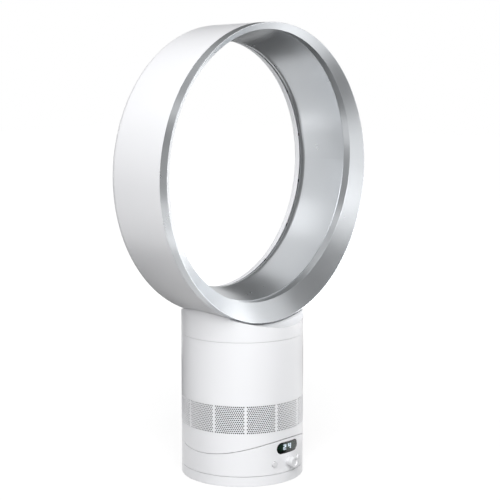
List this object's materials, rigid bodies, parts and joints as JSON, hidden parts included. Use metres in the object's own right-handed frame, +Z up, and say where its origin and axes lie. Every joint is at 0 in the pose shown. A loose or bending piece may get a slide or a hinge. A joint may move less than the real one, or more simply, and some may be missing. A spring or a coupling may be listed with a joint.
{
  "type": "bladeless desk fan",
  "caption": "Bladeless desk fan: round white air loop with silver lining and off-centre opening on a tilting, swinging cylindrical base with intake grille, dial and display.",
  "frame": {"origin": "centre of the base, on the plane of the underside of its non-slip pad", "axes": "+Z up, -Y the front, towards which the air is blown, +X to the right seen from behind"},
  "size_m": [0.356, 0.1618, 0.5487],
  "materials": {
    "white_shell": "satin white",
    "silver_plastic": "satin silver paint",
    "light_knob": "smooth light grey",
    "dark_window": "smoked, glossy",
    "display_light": "light guide",
    "dark_plastic": "matt black",
    "grey_plastic": "matt grey",
    "nylon": "natural",
    "soft_rubber": "matt",
    "foam": "open-cell foam",
    "circuit_board": "solder mask",
    "zinc_sheet": "zinc plated",
    "steel": "ground",
    "copper_winding": "enamelled copper on laminations"
  },
  "bodies": {
    "foot": {"foot_pad": "soft_rubber", "base_plate": "zinc_sheet", "foot_housing": "white_shell", "foot_screws": "zinc_sheet", "cord_gland": "soft_rubber", "swing_gear": "nylon", "swing_bearing": "nylon"},
    "control_base": {"swing_plate": "white_shell", "swing_retainer": "dark_plastic", "control_housing": "white_shell", "swing_motor": "zinc_sheet", "control_board": "circuit_board", "display_window": "dark_window", "display_board": "circuit_board", "display_digits": "display_light", "dial_encoder": "dark_plastic", "button_switches": "dark_plastic"},
    "pinion": {"drive_pinion": "nylon"},
    "dial": {"dial_shaft": "steel", "dial_knob": "light_knob"},
    "power_key": {"power_button": "light_knob"},
    "swing_key": {"swing_button": "light_knob"},
    "fan_body": {"body_housing": "white_shell", "intake_grille": "white_shell", "saddle_plate": "white_shell", "tilt_retainers": "nylon", "impeller_casing": "grey_plastic", "casing_seal": "soft_rubber", "silencer_foam": "foam", "motor_stator": "copper_winding", "motor_bearings": "steel", "bucket_lower": "grey_plastic", "bucket_upper": "grey_plastic", "diffuser_vanes": "grey_plastic", "driver_board": "circuit_board", "neck_collar": "white_shell", "loop_outer_shell": "white_shell", "loop_front_ring": "silver_plastic", "loop_inner_shell": "silver_plastic", "slot_spacers": "dark_plastic", "loop_gasket": "soft_rubber", "neck_seal": "soft_rubber"},
    "rotor": {"impeller": "grey_plastic", "motor_shaft": "steel", "motor_rotor": "steel"}
  },
  "joints": [
    {"name": "swing", "type": "hinge", "parent": "foot", "child": "control_base", "pos_m": [0, 0, 0.0123], "axis": [0, 0, 1], "range_deg": [-45, 45]},
    {"name": "pinion_spin", "type": "hinge", "parent": "control_base", "child": "pinion", "pos_m": [0, 0.0375, 0.0123], "axis": [0, 0, 1], "range_deg": [-181, 181]},
    {"name": "tilt", "type": "hinge", "parent": "control_base", "child": "fan_body", "pos_m": [0, 0, 0.2187], "axis": [1, 0, 0], "range_deg": [-10, 10]},
    {"name": "impeller_spin", "type": "hinge", "parent": "fan_body", "child": "rotor", "pos_m": [0, 0, 0.0899], "axis": [0, 0, 1], "continuous": true},
    {"name": "dial_turn", "type": "hinge", "parent": "control_base", "child": "dial", "pos_m": [0, -0.0748, 0.0259], "axis": [0, 1, 0], "range_deg": [-135, 135]},
    {"name": "power_press", "type": "slide", "parent": "control_base", "child": "power_key", "axis": [0, 1, 0], "range_m": [0, 0.0012], "stiffness_N_per_m": 300},
    {"name": "swing_press", "type": "slide", "parent": "control_base", "child": "swing_key", "axis": [0, 1, 0], "range_m": [0, 0.0012], "stiffness_N_per_m": 300}
  ],
  "couplings": [
    {"joint": "pinion_spin", "follows": "swing", "ratio": 4}
  ]
}
